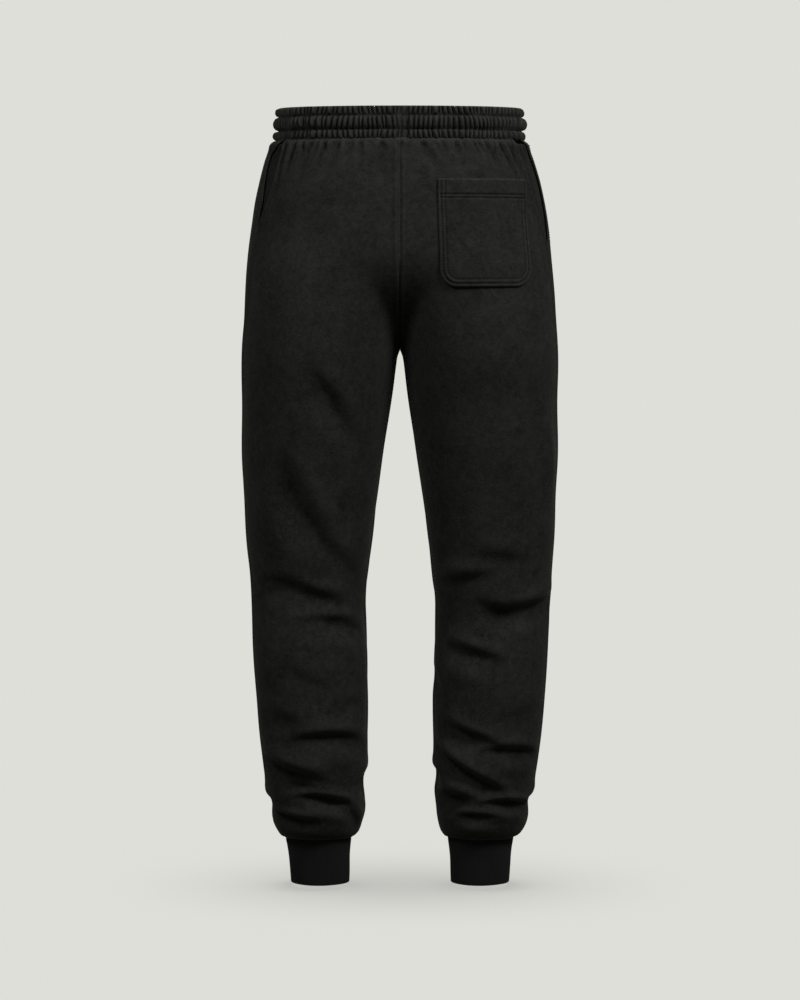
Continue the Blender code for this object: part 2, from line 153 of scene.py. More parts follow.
# Each leg's outermost and innermost x, its depths to the back and front, and its middle's y
LEGS = table(
    "z        out_left in_left out_right in_right back    front   middle",
    (-0.1100, 0.1943, -0.0150, 0.1925, -0.0150, 0.1260, 0.1170, 0.0070),
    (-0.1650, 0.2022, -0.0110, 0.2003, -0.0110, 0.1250, 0.1160, 0.0070),
    (-0.2363, 0.2076, -0.0045, 0.2068, -0.0045, 0.1230, 0.1140, 0.0070),
    (-0.2950, 0.2101, 0.0027, 0.2097, 0.0027, 0.1190, 0.1100, 0.0060),
    (-0.3020, 0.2101, 0.0037, 0.2098, 0.0037, 0.1183, 0.1092, 0.0059),
    (-0.3164, 0.2101, 0.0057, 0.2099, 0.0058, 0.1168, 0.1076, 0.0056),
    (-0.3565, 0.2103, 0.0112, 0.2097, 0.0110, 0.1120, 0.1035, 0.0046),
    (-0.4366, 0.2100, 0.0234, 0.2100, 0.0231, 0.1020, 0.0955, 0.0025),
    (-0.5167, 0.2065, 0.0338, 0.2071, 0.0344, 0.0915, 0.0870, 0.0005),
    (-0.6035, 0.2008, 0.0434, 0.2022, 0.0440, 0.0820, 0.0790, -0.0010),
    (-0.6435, 0.1988, 0.0460, 0.2006, 0.0466, 0.0780, 0.0750, 0.0000),
    (-0.7036, 0.1962, 0.0446, 0.1976, 0.0460, 0.0770, 0.0720, 0.0050),
    (-0.7837, 0.1905, 0.0442, 0.1915, 0.0452, 0.0740, 0.0690, 0.0080),
    (-0.8400, 0.1840, 0.0448, 0.1850, 0.0456, 0.0710, 0.0660, 0.0080),
    (-0.8825, 0.1794, 0.0472, 0.1790, 0.0478, 0.0680, 0.0635, 0.0065),
    (-0.9145, 0.1722, 0.0486, 0.1725, 0.0498, 0.0640, 0.0605, 0.0055),
    (-0.9305, 0.1682, 0.0522, 0.1689, 0.0526, 0.0600, 0.0575, 0.0050),
    (-0.9412, 0.1632, 0.0557, 0.1637, 0.0560, 0.0555, 0.0540, 0.0045),
    (-0.9466, 0.1594, 0.0600, 0.1590, 0.0597, 0.0510, 0.0505, 0.0042),
    (-0.9490, 0.1558, 0.0628, 0.1549, 0.0619, 0.0480, 0.0475, 0.0040),
)

# The rib cuffs: middle x of each, half width, half depth
CUFFS = table(
    "z        left    right   width   depth",
    (-0.9450, 0.1093, 0.1084, 0.0440, 0.0450),
    (-0.9530, 0.1093, 0.1084, 0.0437, 0.0448),
    (-0.9650, 0.1088, 0.1081, 0.0420, 0.0438),
    (-0.9780, 0.1084, 0.1079, 0.0406, 0.0428),
    (-1.0000, 0.1078, 0.1072, 0.0395, 0.0418),
    (-1.0120, 0.1076, 0.1070, 0.0389, 0.0412),
)
CUFF_MIDDLE_Y = 0.004

# The back panels' outer edges and the front panels' pocket mouths, in turns
SIDES = table(
    "z        seam_left mouth_left seam_right mouth_right",
    (-0.0223, 0.300, 0.255, 0.292, 0.150),
    (-0.0410, 0.310, 0.180, 0.275, 0.110),
    (-0.0560, 0.310, 0.180, 0.262, 0.085),
    (-0.0830, 0.300, 0.205, 0.252, 0.065),
    (-0.1028, 0.280, 0.225, 0.238, 0.060),
    (-0.1300, 0.215, 0.205, 0.196, 0.080),
    (-0.1500, 0.192, 0.188, 0.152, 0.105),
    (-0.1650, 0.178, 0.178, 0.124, 0.124),
    (-0.1829, 0.160, 0.160, 0.110, 0.110),
    (-0.2363, 0.120, 0.120, 0.085, 0.085),
    (-0.2950, 0.070, 0.070, 0.060, 0.060),
    (-0.4366, 0.030, 0.030, 0.030, 0.030),
    (-0.9490, 0.020, 0.020, 0.020, 0.020),
)

# Folds. Slope is how steeply one climbs towards the inseam, in degrees; arch is how far its
# middle stands above its ends; width is half its width; depth is inwards, and ridge is the
# share of the depth that stands up beside it.
FOLDS = listing(
    "leg     turn   z       length slope arch   width  depth   ridge",
    ("left", 0.58, -0.372, 0.150, -56, 0.000, 0.018, 0.0066, 0.6),
    ("left", 0.46, -0.500, 0.190, -64, 0.000, 0.020, 0.0080, 0.7),
    ("left", 0.68, -0.574, 0.110, -38, 0.000, 0.016, 0.0036, 0.5),
    ("left", 0.36, -0.610, 0.100, -12, 0.002, 0.014, 0.0054, 0.6),
    ("left", 0.58, -0.626, 0.090, -14, 0.000, 0.014, 0.0056, 0.7),
    ("left", 0.66, -0.666, 0.130, -7, 0.009, 0.012, 0.0072, 0.6),
    ("left", 0.48, -0.735, 0.090, -26, 0.000, 0.018, 0.0034, 0.4),
    ("left", 0.78, -0.767, 0.060, 6, 0.002, 0.011, 0.0022, 0.4),
    ("left", 0.30, -0.785, 0.085, -14, 0.000, 0.014, 0.0032, 0.5),
    ("left", 0.62, -0.823, 0.140, -2, 0.013, 0.012, 0.0076, 0.6),
    ("left", 0.33, -0.857, 0.135, -16, 0.000, 0.014, 0.0092, 0.7),
    ("left", 0.46, -0.878, 0.070, -10, 0.000, 0.010, 0.0044, 0.5),
    ("left", 0.90, -0.875, 0.075, 22, 0.000, 0.015, 0.0078, 0.4),
    ("left", 0.00, -0.899, 0.060, -6, 0.000, 0.011, 0.0044, 0.4),
    ("left", 0.56, -0.902, 0.110, -8, 0.009, 0.0085, 0.0070, 0.9),
    ("left", 0.80, -0.919, 0.050, -48, 0.000, 0.009, 0.0034, 0.6),
    ("left", 0.30, -0.918, 0.095, -9, 0.000, 0.0075, 0.0056, 0.7),
    ("left", 0.50, -0.604, 0.300, -5, 0.000, 0.045, 0.0075, 0.0),
    ("left", -0.50, -0.640, 0.130, 8, 0.006, 0.015, 0.0044, 0.6),
    ("left", -0.30, -0.735, 0.110, -14, 0.000, 0.014, 0.0034, 0.5),
    ("left", -0.62, -0.600, 0.110, 30, 0.000, 0.016, 0.0034, 0.5),
    ("left", -0.45, -0.852, 0.130, 14, 0.004, 0.013, 0.0066, 0.7),
    ("left", -0.70, -0.800, 0.100, -10, 0.003, 0.012, 0.0036, 0.5),
    ("left", -0.55, -0.903, 0.105, -6, 0.006, 0.009, 0.0060, 0.7),
    ("left", -0.20, -0.919, 0.070, 9, 0.000, 0.008, 0.0048, 0.6),
    ("left", -0.82, -0.872, 0.060, 16, 0.000, 0.010, 0.0042, 0.5),
    ("right", 0.24, -0.431, 0.190, 84, 0.000, 0.018, 0.0042, 0.9),
    ("right", 0.46, -0.576, 0.095, 6, 0.002, 0.018, 0.0048, 0.5),
    ("right", 0.66, -0.602, 0.120, -9, 0.000, 0.014, 0.0054, 0.7),
    ("right", 0.28, -0.639, 0.145, -9, 0.000, 0.013, 0.0066, 0.7),
    ("right", 0.48, -0.644, 0.090, 24, 0.000, 0.014, 0.0030, 0.4),
    ("right", 0.62, -0.700, 0.110, 14, 0.002, 0.012, 0.0068, 0.7),
    ("right", 0.90, -0.741, 0.070, 40, 0.000, 0.012, 0.0034, 0.4),
    ("right", 0.25, -0.778, 0.110, -9, 0.000, 0.015, 0.0032, 0.4),
    ("right", 0.62, -0.807, 0.105, 20, 0.000, 0.011, 0.0068, 0.7),
    ("right", 0.33, -0.838, 0.120, 5, 0.010, 0.010, 0.0060, 0.7),
    ("right", 0.64, -0.857, 0.155, 30, 0.000, 0.011, 0.0080, 0.8),
    ("right", 0.96, -0.863, 0.060, 10, 0.000, 0.012, 0.0042, 0.4),
    ("right", 0.72, -0.894, 0.090, 4, 0.002, 0.013, 0.0072, 0.5),
    ("right", 0.00, -0.898, 0.060, -4, 0.000, 0.011, 0.0044, 0.4),
    ("right", 0.33, -0.905, 0.100, 4, 0.007, 0.0075, 0.0064, 0.8),
    ("right", 0.56, -0.918, 0.075, 0, 0.002, 0.0070, 0.0046, 0.7),
    ("right", 0.50, -0.645, 0.300, 5, 0.000, 0.045, 0.0080, 0.0),
    ("right", -0.40, -0.655, 0.135, -10, 0.005, 0.015, 0.0044, 0.6),
    ("right", -0.66, -0.745, 0.105, 12, 0.000, 0.014, 0.0034, 0.5),
    ("right", -0.56, -0.596, 0.120, -24, 0.000, 0.016, 0.0034, 0.5),
    ("right", -0.60, -0.848, 0.130, -12, 0.004, 0.013, 0.0066, 0.7),
    ("right", -0.28, -0.806, 0.095, 10, 0.003, 0.012, 0.0036, 0.5),
    ("right", -0.40, -0.905, 0.105, 8, 0.006, 0.009, 0.0060, 0.7),
    ("right", -0.75, -0.917, 0.070, -8, 0.000, 0.008, 0.0048, 0.6),
    ("right", -0.84, -0.868, 0.060, -14, 0.000, 0.010, 0.0042, 0.5),
)

# The longer pleats that run down from the waistband; lean is how far one drifts, in turns
PLEATS = listing(
    "half    turn   length width  depth  lean",
    ("left", 0.345, 0.050, 0.0032, 0.0070, 0.010),
    ("left", 0.430, 0.034, 0.0030, 0.0078, -0.010),
    ("left", 0.545, 0.040, 0.0034, 0.0044, -0.020),
    ("left", 0.640, 0.026, 0.0026, 0.0066, -0.015),
    ("left", 0.700, 0.060, 0.0060, 0.0030, -0.030),
    ("left", 0.785, 0.024, 0.0032, 0.0050, -0.010),
    ("left", 0.830, 0.020, 0.0024, 0.0046, 0.010),
    ("left", 0.925, 0.016, 0.0022, 0.0048, 0.000),
    ("left", -0.250, 0.060, 0.0040, 0.0056, 0.020),
    ("left", -0.480, 0.045, 0.0036, 0.0056, 0.020),
    ("left", -0.720, 0.055, 0.0040, 0.0048, 0.010),
    ("right", 0.905, 0.050, 0.0048, 0.0052, -0.080),
    ("right", 0.850, 0.022, 0.0026, 0.0048, -0.030),
    ("right", 0.740, 0.026, 0.0030, 0.0046, -0.020),
    ("right", 0.640, 0.018, 0.0024, 0.0044, -0.020),
    ("right", 0.560, 0.030, 0.0032, 0.0050, -0.040),
    ("right", 0.460, 0.052, 0.0036, 0.0062, -0.080),
    ("right", 0.390, 0.046, 0.0036, 0.0058, -0.070),
    ("right", 0.310, 0.040, 0.0030, 0.0056, -0.040),
    ("right", -0.200, 0.050, 0.0040, 0.0056, 0.020),
    ("right", -0.420, 0.060, 0.0040, 0.0050, 0.020),
    ("right", -0.660, 0.040, 0.0036, 0.0048, 0.010),
)

# The waistband's three ruched rolls, from the waist line outwards
ROLLS = listing(
    "top      bottom  reach",
    (0.0220, 0.0105, 0.0010),
    (0.0105, -0.0080, 0.0045),
    (-0.0080, -0.0220, 0.0040),
)

# The patch pocket's edges, measured round the cloth from the centre-back seam
POCKET_EDGES = table(
    "z        inner   outer",
    (-0.0735, 0.0488, 0.1780),
    (-0.2140, 0.0540, 0.1810),
)


# ---------------------------------------------------------------- the form of the cloth


def level(rows, column, z):
    """A column's value at heights z, on a smooth line that never overshoots its rows."""
    down = -rows["z"]
    value = rows[column]
    run = np.diff(down)
    climb = np.diff(value) / run
    before = climb[:-1]
    after = climb[1:]
    same_way = before * after > 0
    slope = np.zeros(len(value))
    both = np.where(same_way, before + after, 1.0)
    slope[1:-1] = np.where(same_way, 2 * before * after / both, 0.0)
    slope[-1] = climb[-1]
    depth = np.clip(-np.asarray(z, float), down[0], down[-1])
    i = np.clip(np.searchsorted(down, depth, side="right") - 1, 0, len(run) - 1)
    t = (depth - down[i]) / run[i]
    rise = t * t * (3 - 2 * t)
    bend_in = t * (1 - t) ** 2 * run[i] * slope[i]
    bend_out = -t * t * (1 - t) * run[i] * slope[i + 1]
    return value[i] * (1 - rise) + value[i + 1] * rise + bend_in + bend_out


def soft_step(t):
    """0 to 1 as t goes from 0 to 1, level at both ends."""
    t = np.clip(t, 0.0, 1.0)
    return t * t * (3 - 2 * t)


def ramp(z, top, end):
    """0 down to the top height, 1 from the end height down."""
    return np.clip((top - z) / (top - end), 0.0, 1.0)


def oval(angle, power):
    """Points on an oval one unit wide and deep."""
    x = np.cos(angle)
    y = np.sin(angle)
    return np.sign(x) * np.abs(x) ** (2 / power), np.sign(y) * np.abs(y) ** (2 / power)


def form(side, turn, z):
    """The filled-out form without folds, drawn on the positive side of x."""
    turn, z = np.broadcast_arrays(np.asarray(turn, float), np.asarray(z, float))
    face = turn > 0
    x, y = oval(turn * math.pi / 2, HIP_POWER)
    hip_x = x * level(HIPS, side, z)
    hip_y = y * np.where(face, level(HIPS, "back", z), level(HIPS, "front", z))
    x, y = oval(turn * math.pi, LEG_POWER)
    outermost = level(LEGS, "out_" + side, z)
    middle = (outermost + level(LEGS, "in_" + side, z)) / 2
    leg_depth = np.where(face, level(LEGS, "back", z), level(LEGS, "front", z))
    leg_x = middle + x * (outermost - middle)
    leg_x = leg_x - CROTCH_WEB * hollow(z - CROTCH, 0.008) * hollow(1 - np.abs(turn), 0.08)
    leg_y = level(LEGS, "middle", z) + y * leg_depth
    s = ramp(z, PARTING_TOP, CROTCH)
    central = soft_step((np.abs(turn) - U_CROTCH_START) / (1 - U_CROTCH_START))
    rounded = 1 - np.sqrt(1 - s * s)
    eased = soft_step(s) ** 1.6
    at_centre = eased + 0.6 * (rounded - eased) * central ** 3
    at_side = soft_step(ramp(z, SIDES_PART_TOP, SIDES_PART_END))
    share = at_side * (1 - central) + at_centre * central
    fill = 1 + SEAT_FILL * 4 * at_side * (1 - at_side) * (1 - central)
    y = (hip_y * (1 - share) + leg_y * share) * fill
    return np.stack([hip_x * (1 - share) + leg_x * share, y, z], axis=-1)


def unit(vectors):
    length = np.linalg.norm(vectors, axis=-1, keepdims=True)
    return vectors / np.maximum(length, 1e-12)


def along(side, turn, z):
    """The direction round the cloth, towards larger turns."""
    low = np.maximum(turn - 0.004, -1.0)
    high = np.minimum(turn + 0.004, 1.0)
    return unit(form(side, high, z) - form(side, low, z))


def outward(side, turn, z):
    """Normals of the bare form."""
    step = 0.0005
    round_it = along(side, turn, z)
    up = (form(side, turn, z + step) - form(side, turn, z - step)) / (2 * step)
    flat = np.stack([round_it[..., 1], -round_it[..., 0], np.zeros_like(turn)], axis=-1)
    flat[..., 2] = -(flat[..., 0] * up[..., 0] + flat[..., 1] * up[..., 1])
    return unit(flat)


def pace(side, at, z):
    """Metres round the cloth for each turn, just inside a seam."""
    inner = at - math.copysign(0.01, at)
    gap = form(side, np.full_like(z, at), z) - form(side, np.full_like(z, inner), z)
    return np.linalg.norm(gap, axis=-1) / 0.01


def hollow(distance, width):
    """A smooth hump, 1 in its middle and near 0 two widths away."""
    return np.exp(-((distance / width) ** 2))


# ---------------------------------------------------------------- folds, gathers and seams


def fold_relief(side, turn, z):
    """Troughs and their ridges, outwards."""
    relief = np.zeros_like(turn)
    radius = (level(LEGS, "out_" + side, z) - level(LEGS, "in_" + side, z)) / 2
    for fold in FOLDS:
        if fold["leg"] != side:
            continue
        across = ((turn - fold["turn"] + 1) % 2 - 1) * math.pi * radius
        up = z - fold["z"]
        slope = math.radians(fold["slope"])
        run = (across * math.cos(slope) + up * math.sin(slope)) / (fold["length"] / 2)
        fade = np.clip(1 - run * run, 0, 1)
        off = up * math.cos(slope) - across * math.sin(slope) - fold["arch"] * fade
        width = fold["width"]
        trough = hollow(off, np.where(off > 0, TROUGH_ABOVE, TROUGH_BELOW) * width)
        bulge = hollow(off - 1.25 * width, 0.8 * width) + 0.4 * hollow(off + 2.3 * width, width)
        relief -= fold["depth"] * fade ** 1.5 * (trough - fold["ridge"] * bulge)
    return relief


def small_gathers():
    """Uneven short gathers under the waistband, closer together than the pleats."""
    rows = []
    for half in ("left", "right"):
        turn = -0.985
        while turn < 0.985:
            turn += chance.uniform(0.030, 0.075)
            rows.append(
                {
                    "half": half,
                    "turn": turn,
                    "length": chance.uniform(0.008, 0.024),
                    "width": chance.uniform(0.0018, 0.0030),
                    "depth": chance.uniform(0.0018, 0.0054),
                    "lean": chance.uniform(-0.02, 0.02),
                }
            )
    return rows


GATHERS = PLEATS + small_gathers()


def gather_relief(side, turn, z):
    """Gathers that fade down from the waistband; none dips inside the band itself."""
    relief = np.zeros_like(turn)
    below = np.maximum(PANEL_TOP - z, 0.0)
    clear_of_band = soft_step((PANEL_TOP + 0.001 - z) / 0.006)
    for pleat in GATHERS:
        if pleat["half"] != side:
            continue
        down = below / pleat["length"]
        centre = pleat["turn"] + pleat["lean"] * down
        off = (turn - centre) * METRES_PER_TURN
        width = pleat["width"] * (1 + 0.7 * np.minimum(down, 1.5))
        fade = np.exp(-(down ** 1.6)) * clear_of_band
        relief -= pleat["depth"] * fade * (hollow(off, width) - 0.3 * hollow(off, 2.6 * width))
    return relief


def swell_relief(side, turn, z):
    """Slow unevenness of cloth that hangs over nothing."""
    shift = 0.0 if side == "left" else 1.9
    wave = np.sin(turn * 5.1 + z * 19 + shift) * np.sin(z * 31 - turn * 3.7 + 2 * shift)
    wave += 0.6 * np.sin(turn * 9.7 - z * 43 + 3 * shift) * np.sin(z * 17 + turn * 8.3)
    calm = 1 - soft_step((np.abs(turn) - 0.9) / 0.1) * (1 - ramp(z, CROTCH, CROTCH - 0.05))
    return SWELL * wave * calm * ramp(z, PANEL_TOP, PANEL_TOP - 0.05)


def relief(side, turn, z):
    """All that stands off the bare form, outwards, apart from the seams."""
    folds = fold_relief(side, turn, z)
    return folds + gather_relief(side, turn, z) + swell_relief(side, turn, z)


def seam_relief(distance):
    """Cloth pulled in at a seam, with the allowance standing up beside it."""
    sink = -SEAM_SINK * hollow(distance, SEAM_SINK_WIDTH)
    return sink + ALLOWANCE_RISE * hollow(distance - ALLOWANCE_AT, ALLOWANCE_WIDTH)


def mouth_lift(side, turn, z):
    """How far the pocket mouth's edge stands out from the facing, on the front panel."""
    seam = level(SIDES, "seam_" + side, z)
    mouth = level(SIDES, "mouth_" + side, z)
    open_by = soft_step((seam - mouth) / MOUTH_WIDE_OPEN)
    near = hollow(mouth - turn, MOUTH_LIFT_REACH)
    return MOUTH_LIFT * open_by * near * soft_step((PANEL_TOP - z) / MOUTH_LIFT_START)


def on_cloth(side, turn, z, lift=0.0):
    """Points and normals on the finished cloth, on the garment's own side."""
    normal = outward(side, turn, z)
    height = relief(side, turn, z) + lift
    points = form(side, turn, z) + normal * height[..., None]
    return settle(side, points), mirrored(side, normal)


def mirrored(side, vectors):
    """Turns vectors drawn on the positive side of x to the garment's own side."""
    vectors = vectors.copy()
    if side == "right":
        vectors[..., 0] *= -1
    return vectors


def settle(side, points):
    """Keeps points clear of the centre seam and puts them on their own side."""
    points = points.copy()
    points[..., 0] = np.maximum(points[..., 0], 0.0)
    return mirrored(side, points)


# ---------------------------------------------------------------- meshes


def into_scene(name, net):
    """Makes an object of a bmesh, and frees it."""
    mesh = bpy.data.meshes.new(name)
    net.to_mesh(mesh)
    net.free()
    piece = bpy.data.objects.new(name, mesh)
    bpy.context.scene.collection.objects.link(piece)
    return piece


def sheet_from(name, points, closed_columns=False):
    """A grid of points as a mesh: rows down, columns round. A closed sheet joins up sideways."""
    rows, columns = points.shape[:2]
    net = bmesh.new()
    uv = net.loops.layers.uv.new("cloth")
    bmesh.ops.create_grid(net, x_segments=columns - 1, y_segments=rows - 1, size=1)
    net.verts.ensure_lookup_table()
    flat_points = points.reshape(-1, 3)
    flat_uv = cloth_lengths(points).reshape(-1, 2)
    for vertex, point in zip(net.verts, flat_points):
        vertex.co = point
    for face in net.faces:
        face.smooth = True
        for loop in face.loops:
            loop[uv].uv = flat_uv[loop.vert.index]
    if closed_columns:
        bmesh.ops.remove_doubles(net, verts=net.verts, dist=0.00001)
        bmesh.ops.recalc_face_normals(net, faces=net.faces)
    return into_scene(name, net)


def cloth_lengths(points):
    """Distances along the rows and down the columns, for patterns that follow the cloth."""
    across = np.linalg.norm(np.diff(points, axis=1), axis=-1)
    across = np.concatenate([np.zeros((points.shape[0], 1)), np.cumsum(across, axis=1)], axis=1)
    down = np.linalg.norm(np.diff(points, axis=0), axis=-1)
    down = np.concatenate([np.zeros((1, points.shape[1])), np.cumsum(down, axis=0)], axis=0)
    return np.stack([across, down], axis=-1)


def thicken(piece, wall):
    """Gives a shell its wall, inwards."""
    shell = piece.modifiers.new("wall", "SOLIDIFY")
    shell.thickness = wall
    shell.offset = -1
    shell.use_even_offset = False
    shell.use_quality_normals = True


def face_outwards(piece, inside_point):
    """Turns a shell round if its faces look at a point inside it."""
    mesh = piece.data
    face = mesh.polygons[len(mesh.polygons) // 2]
    if face.normal.dot(face.center - Vector(inside_point)) < 0:
        mesh.flip_normals()


def panel_heights():
    """Rows down a panel, closer where the crotch turns under and where the ankles fold."""
    parting = PARTING_TOP - CROTCH
    turned = np.sin(np.linspace(0, math.pi / 2, 37))
    spans = [
        np.linspace(TUCKED_TOP, -0.060, 17),
        np.linspace(-0.060, PARTING_TOP, 27),
        PARTING_TOP - parting * turned,
        np.linspace(CROTCH, -0.312, 7),
        np.linspace(-0.312, -0.600, 66),
        np.linspace(-0.600, -0.800, 58),
        np.linspace(-0.800, LEG_HEM, 74),
    ]
    return np.concatenate([span[1:] if i else span for i, span in enumerate(spans)])


PANEL_COLUMNS = {"back": 150, "front": 112}


def panel(side, face):
    """A back or front panel as a folded, gathered shell from its side edge to its middle."""
    towards = 1.0 if face == "back" else -1.0
    z = panel_heights()[:, None]
    column = np.linspace(0, 1, PANEL_COLUMNS[face] + 1)[None, :]
    column = column - 0.45 * np.sin(2 * math.pi * column) / (2 * math.pi)
    edge = level(SIDES, ("seam_" if face == "back" else "mouth_") + side, z)
    turn = edge + (towards - edge) * column
    z = np.broadcast_to(z, turn.shape)
    middle_gap = np.abs(towards - turn) * pace(side, towards, z[:, :1])
    side_gap = np.abs(turn - edge) * pace(side, 0.2, z[:, :1])
    below_mouth = ramp(z, *MOUTH_END) if face == "front" else 1.0
    edge_roll = EDGE_ROLL * hollow(side_gap - 0.004, 0.003) * (1 - ramp(z, -0.20, -0.30))
    height = relief(side, turn, z) + seam_relief(middle_gap)
    height += seam_relief(side_gap) * below_mouth + edge_roll
    if face == "front":
        height += mouth_lift(side, turn, z)
    lift = outward(side, turn, z) * height[..., None]
    above_crotch = np.where(z > CROTCH, 1.0, 0.0)
    lift[..., 0] *= 1 - above_crotch * hollow(middle_gap, 0.012)
    points = form(side, turn, z) + lift
    points[:, -1, 0] *= 1 - above_crotch[:, 0]
    points = settle(side, points)
    piece = sheet_from("fleece_" + face + "_" + side, points)
    face_outwards(piece, (0.105 if side == "left" else -0.105, 0.0, -0.5))
    thicken(piece, FLEECE_WALL)
    return piece


def waist_ring(count):
    """Points, outward directions and arc lengths round the waist line, from the centre front."""
    angle = np.linspace(-math.pi / 2, 1.5 * math.pi, count + 1)
    x, y = oval(angle, HIP_POWER)
    x = x * WAIST_HALF_WIDTH
    y = y * np.where(y > 0, WAIST_BACK, WAIST_FRONT)
    line = np.stack([x, y], axis=-1)
    arc = np.concatenate([[0], np.cumsum(np.linalg.norm(np.diff(line, axis=0), axis=-1))])
    even = np.linspace(0, arc[-1], count + 1)
    line = np.stack([np.interp(even, arc, x), np.interp(even, arc, y)], axis=-1)
    line[-1] = line[0]
    ahead = np.roll(line[:-1], -1, axis=0)
    behind = np.roll(line[:-1], 1, axis=0)
    track = unit(ahead - behind)
    out = np.stack([track[:, 1], -track[:, 0]], axis=-1)
    return line, np.vstack([out, out[:1]]), even


def puffs(arc, total, creases, heights):
    """Rounded puffs between sharp creases round the band."""
    place = np.mod(arc, total)
    i = np.clip(np.searchsorted(creases, place, side="right") - 1, 0, len(creases) - 2)
    t = (place - creases[i]) / (creases[i + 1] - creases[i])
    return heights[i] * np.sin(math.pi * np.clip(t, 0, 1))


def crease_places(total, smallest, largest):
    """Uneven places for creases that close up exactly round the band."""
    gaps = []
    while sum(gaps) < total:
        gaps.append(chance.uniform(smallest, largest))
    gaps = np.array(gaps)
    return np.concatenate([[0], np.cumsum(gaps * total / gaps.sum())])


WAIST_COLUMNS = 1080
ROLL_STEPS = 8
SMALLEST_PUFF = 0.0048
LARGEST_PUFF = 0.0084
PUFF_ROOM = 0.0040           # how much of a roll's reach its puffs take up
JOIN_HALF_WIDTH = 0.0085     # the flat patch where the band is joined at the centre back
JOIN_CENTRE = 0.003
JOIN_LINE_WIDTH = 0.0011
JOIN_LINE_DEPTH = 0.0036


def waistband():
    """The gathered band: three ruched rolls outside, pinned by two rows of stitching."""
    line, out, arc = waist_ring(WAIST_COLUMNS)
    total = arc[-1]
    from_join = arc - total / 2
    flat_patch = 1 - 0.55 * np.exp(-(((from_join - JOIN_CENTRE) / JOIN_HALF_WIDTH) ** 6))
    join_line = hollow(from_join - JOIN_HALF_WIDTH - JOIN_CENTRE, JOIN_LINE_WIDTH)
    base = crease_places(total, SMALLEST_PUFF, LARGEST_PUFF)
    rings = []
    for roll in ROLLS:
        jitter = chance.uniform(-0.0012, 0.0012, len(base))
        jitter[0] = jitter[-1] = 0
        creases = base + jitter
        heights = 0.0003 + 0.74 * np.diff(creases) + chance.uniform(0, 0.0012, len(base) - 1)
        unevenness = 0.0005 * np.sin(arc * 2 * math.pi / total * 11 + chance.uniform(0, 6))
        unevenness += 0.0004 * np.sin(arc * 2 * math.pi / total * 23 + chance.uniform(0, 6))
        lean = 0.0012 * np.sin(arc * 2 * math.pi / total * 7 + chance.uniform(0, 6))
        for step in range(ROLL_STEPS):
            t = step / ROLL_STEPS
            swell = math.sin(math.pi * t) ** 0.55
            puff = puffs(arc + lean * (t - 0.5) * 2, total, creases, heights) * flat_patch
            reach = (roll["reach"] - WAIST_GROOVE - PUFF_ROOM + unevenness) * swell
            reach = reach + puff * swell ** 0.8 - JOIN_LINE_DEPTH * join_line * swell
            height = roll["top"] + (roll["bottom"] - roll["top"]) * t
            sway = 0.0003 * np.sin(arc * 2 * math.pi / total * 9) if 0 < t else 0.0
            rings.append((WAIST_GROOVE + reach, height + sway))
    flat = np.zeros_like(arc)
    inside = WAIST_INSIDE + 0.0005 * puffs(arc, total, base, np.ones(len(base) - 1))
    rings.append((flat + WAIST_GROOVE, flat + ROLLS[-1]["bottom"]))
    for height in (ROLLS[-1]["bottom"], -0.012, 0.0, 0.012, ROLLS[0]["top"] - 0.0006):
        rings.append((inside, flat + height))
    rings.append((flat + (WAIST_INSIDE + WAIST_GROOVE) / 2, flat + ROLLS[0]["top"]))
    rings.append(rings[0])
    points = np.empty((len(rings), len(arc), 3))
    for row, (reach, height) in enumerate(rings):
        points[row, :, :2] = line + out * reach[:, None]
        points[row, :, 2] = height
    return sheet_from("ruched_waistband", points, closed_columns=True)


CUFF_RIBS = 112              # about 2.3 mm apart round the cuff
STEPS_PER_RIB = 6
RIB_DEPTH = 0.0008


def cuff(side):
    """A rib-knit cuff, folded at its hem and tucked into the leg."""
    columns = CUFF_RIBS * STEPS_PER_RIB
    angle = np.linspace(0, 2 * math.pi, columns + 1)
    ribs = np.abs(np.sin(angle * CUFF_RIBS / 2)) ** 0.8
    round_hem = RIB_WALL / 2
    tuck = np.linspace(CUFF_TOP, -0.955, 6)
    outside = np.concatenate([tuck, np.linspace(-0.955, -1.0105, 26)[1:]])
    rows = [(0.0, z, 1.0) for z in outside]
    for step in range(1, 6):
        bend = math.pi * step / 6
        out = -round_hem + round_hem * math.cos(bend)
        rows.append((out, CUFF_HEM + round_hem * (1 - math.sin(bend)), 1.0))
    rows += [(-RIB_WALL, z, 0.6) for z in np.linspace(-1.0100, CUFF_TOP, 12)]
    rows.append(rows[0])
    points = np.empty((len(rows), columns + 1, 3))
    middle_sign = 1 if side == "left" else -1
    for row, (out, z, share) in enumerate(rows):
        pinch = 1 - 0.5 * hollow(z - CUFF_TOP, 0.006)
        wobble = 0.0006 * np.sin(3 * angle + z * 70) + 0.0005 * np.sin(5 * angle - z * 50)
        towards = 1 if out > -RIB_WALL / 2 else -1
        reach = out + towards * RIB_DEPTH * share * pinch * (ribs - 0.6) + wobble * 0.7
        middle = level(CUFFS, side, z) * middle_sign
        points[row, :, 0] = middle + np.cos(angle) * (level(CUFFS, "width", z) + reach)
        points[row, :, 1] = CUFF_MIDDLE_Y + np.sin(angle) * (level(CUFFS, "depth", z) + reach)
        points[row, :, 2] = z
    return sheet_from("rib_cuff_" + side, points, closed_columns=True)


